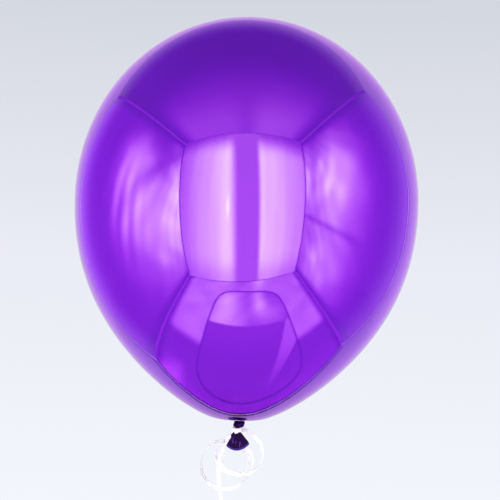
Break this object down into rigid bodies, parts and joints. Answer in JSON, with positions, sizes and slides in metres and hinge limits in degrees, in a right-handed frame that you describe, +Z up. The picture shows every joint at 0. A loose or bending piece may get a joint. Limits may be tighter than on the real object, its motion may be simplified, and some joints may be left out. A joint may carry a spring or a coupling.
{
  "type": "latex balloon",
  "caption": "Inflated round latex party balloon in glossy purple, tied off at the neck with a white curling ribbon.",
  "frame": {"origin": "middle of the ribbon's tie on the balloon's neck, between the knot and the tail", "axes": "+Z up the balloon's axis to its crown, +X to the right and +Y away from the viewer, across the flat of the tail"},
  "size_m": [0.3, 0.3, 0.4981],
  "materials": {
    "stretched_latex": "gloss",
    "dense_latex": "gloss",
    "ribbon_film": "satin",
    "band_paper": "matte"
  },
  "bodies": {
    "tied_end": {"knot": "dense_latex", "tail": "dense_latex", "rolled_lip": "dense_latex"},
    "neck": {"neck": "dense_latex"},
    "bubble": {"throat": "dense_latex", "bubble": "stretched_latex"},
    "tie": {"ribbon_tie": "ribbon_film", "ribbon_knot": "ribbon_film"},
    "lead": {"ribbon_lead": "ribbon_film", "ribbon_coil": "ribbon_film", "coil_band": "band_paper"},
    "curl": {"ribbon_curl": "ribbon_film"}
  },
  "joints": [
    {"name": "neck_bend_front", "type": "hinge", "parent": "tied_end", "child": "neck", "pos_m": [0, 0, 0.011], "axis": [1, 0, 0], "range_deg": [-12, 12], "stiffness_Nm_per_rad": 0.03},
    {"name": "neck_bend_side", "type": "hinge", "parent": "neck", "child": "bubble", "pos_m": [0, 0, 0.011], "axis": [0, 1, 0], "range_deg": [-12, 12], "stiffness_Nm_per_rad": 0.03},
    {"name": "tie_turn", "type": "hinge", "parent": "tied_end", "child": "tie", "pos_m": [0, 0, 0], "axis": [0, 0, 1], "continuous": true},
    {"name": "lead_swing", "type": "hinge", "parent": "tie", "child": "lead", "pos_m": [0, -0.0059, -0.0003], "axis": [1, 0, 0], "range_deg": [-60, 0]},
    {"name": "curl_swing", "type": "hinge", "parent": "tie", "child": "curl", "pos_m": [0, -0.0058, 0.0002], "axis": [1, 0, 0], "range_deg": [-8, 25], "stiffness_Nm_per_rad": 0.003}
  ]
}
